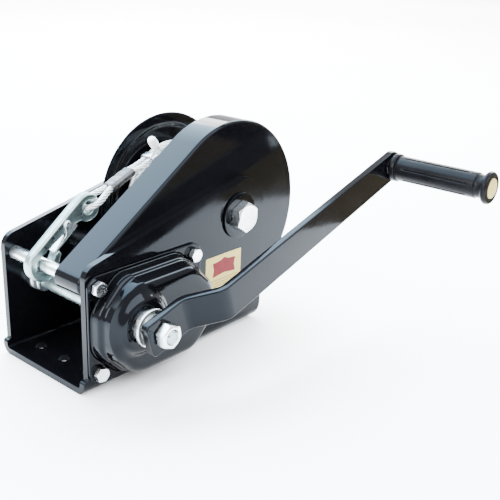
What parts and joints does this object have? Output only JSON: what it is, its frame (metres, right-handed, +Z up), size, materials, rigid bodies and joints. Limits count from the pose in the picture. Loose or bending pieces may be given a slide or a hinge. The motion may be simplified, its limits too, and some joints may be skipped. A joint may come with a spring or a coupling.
{
  "type": "boat trailer winch",
  "caption": "Hand-cranked boat trailer winch: bent plate frame, geared rope drum, covered ratchet brake, crank with grip, and wire rope with a snap hook.",
  "frame": {"origin": "on the underside of the base, midway between the side plates and 90 mm behind the side plates' front edges", "axes": "+X towards the drum, -Y towards the crank, +Z up, with the base flat on XY"},
  "size_m": [0.3015, 0.273, 0.177],
  "materials": {
    "black_paint": "gloss black paint",
    "zinc": "zinc plated",
    "steel": "plain machined steel, oiled",
    "brass": "turned, satin",
    "friction": "matt friction lining",
    "black_plastic": "moulded, satin",
    "cream_plastic": "moulded, glossy",
    "rope": "galvanised wire"
  },
  "bodies": {
    "winch_frame": {"frame_plate": "black_paint", "gear_guard": "black_paint", "tie_rod": "zinc", "tie_rod_washer": "zinc", "tie_rod_bolt": "zinc", "axle_bolt": "zinc", "axle_washer": "black_paint", "axle_nut": "zinc", "axle_washer_far": "zinc", "brake_cover": "black_paint", "cover_bolt_top_front": "zinc", "cover_bolt_bottom_front": "zinc", "cover_bolt_top_rear": "zinc", "cover_bolt_bottom_rear": "zinc", "shaft_bush_near": "brass", "shaft_bush_far": "brass", "pawl_pin": "zinc", "pawl_clip": "steel", "pawl_spring": "steel", "snap_hook": "zinc", "latch_pin": "zinc", "rope_lead": "rope", "rope_eye": "rope", "rope_tail": "rope", "rope_ferrule": "zinc", "rope_clip": "zinc"},
    "drum": {"drum_barrel": "steel", "drum_bush_near": "brass", "drum_bush_far": "brass", "drum_flange_far": "black_paint", "drum_flange_near": "black_paint", "drum_gear": "steel", "rope_winding": "rope"},
    "countershaft": {"countershaft": "steel", "countershaft_gear": "steel", "countershaft_pinion": "steel", "countershaft_clip_near": "steel", "countershaft_clip_far": "steel", "countershaft_spacer": "zinc"},
    "crank": {"drive_shaft": "zinc", "drive_pinion": "steel", "shaft_clip_far": "steel", "shaft_collar": "zinc", "shaft_ring": "zinc", "brake_flange": "steel", "friction_disc_inner": "friction", "friction_disc_outer": "friction", "brake_hub": "zinc", "crank_collar": "zinc", "crank_arm": "black_paint", "crank_nut": "zinc", "grip_pin": "zinc", "grip_washer": "zinc"},
    "ratchet": {"ratchet_wheel": "steel"},
    "pawl": {"pawl": "steel"},
    "grip": {"grip": "black_plastic", "grip_cap": "cream_plastic"},
    "hook_latch": {"hook_latch": "zinc"}
  },
  "joints": [
    {"name": "drum_turn", "type": "hinge", "parent": "winch_frame", "child": "drum", "pos_m": [0.066, 0, 0.1], "axis": [0, 1, 0], "continuous": true},
    {"name": "countershaft_turn", "type": "hinge", "parent": "winch_frame", "child": "countershaft", "pos_m": [-0.01011, 0, 0.06817], "axis": [0, 1, 0], "continuous": true},
    {"name": "crank_turn", "type": "hinge", "parent": "winch_frame", "child": "crank", "pos_m": [-0.0616, 0, 0.0556], "axis": [0, 1, 0], "continuous": true},
    {"name": "ratchet_turn", "type": "hinge", "parent": "winch_frame", "child": "ratchet", "pos_m": [-0.0616, 0, 0.0556], "axis": [0, 1, 0], "continuous": true},
    {"name": "pawl_swing", "type": "hinge", "parent": "winch_frame", "child": "pawl", "pos_m": [-0.024, 0, 0.04], "axis": [0, -1, 0], "range_deg": [0, 8], "stiffness_Nm_per_rad": 0.02, "springref_deg": -20.05},
    {"name": "grip_spin", "type": "hinge", "parent": "crank", "child": "grip", "pos_m": [0.19311, 0, 0.13227], "axis": [0, 1, 0], "continuous": true},
    {"name": "latch_open", "type": "hinge", "parent": "winch_frame", "child": "hook_latch", "pos_m": [-0.06078, 0.011, 0.1076], "axis": [0, 1, 0], "range_deg": [0, 14], "stiffness_Nm_per_rad": 0.02, "springref_deg": -17.19}
  ],
  "couplings": [
    {"joint": "countershaft_turn", "follows": "drum_turn", "ratio": -4.5},
    {"joint": "crank_turn", "follows": "drum_turn", "ratio": 11.4}
  ]
}
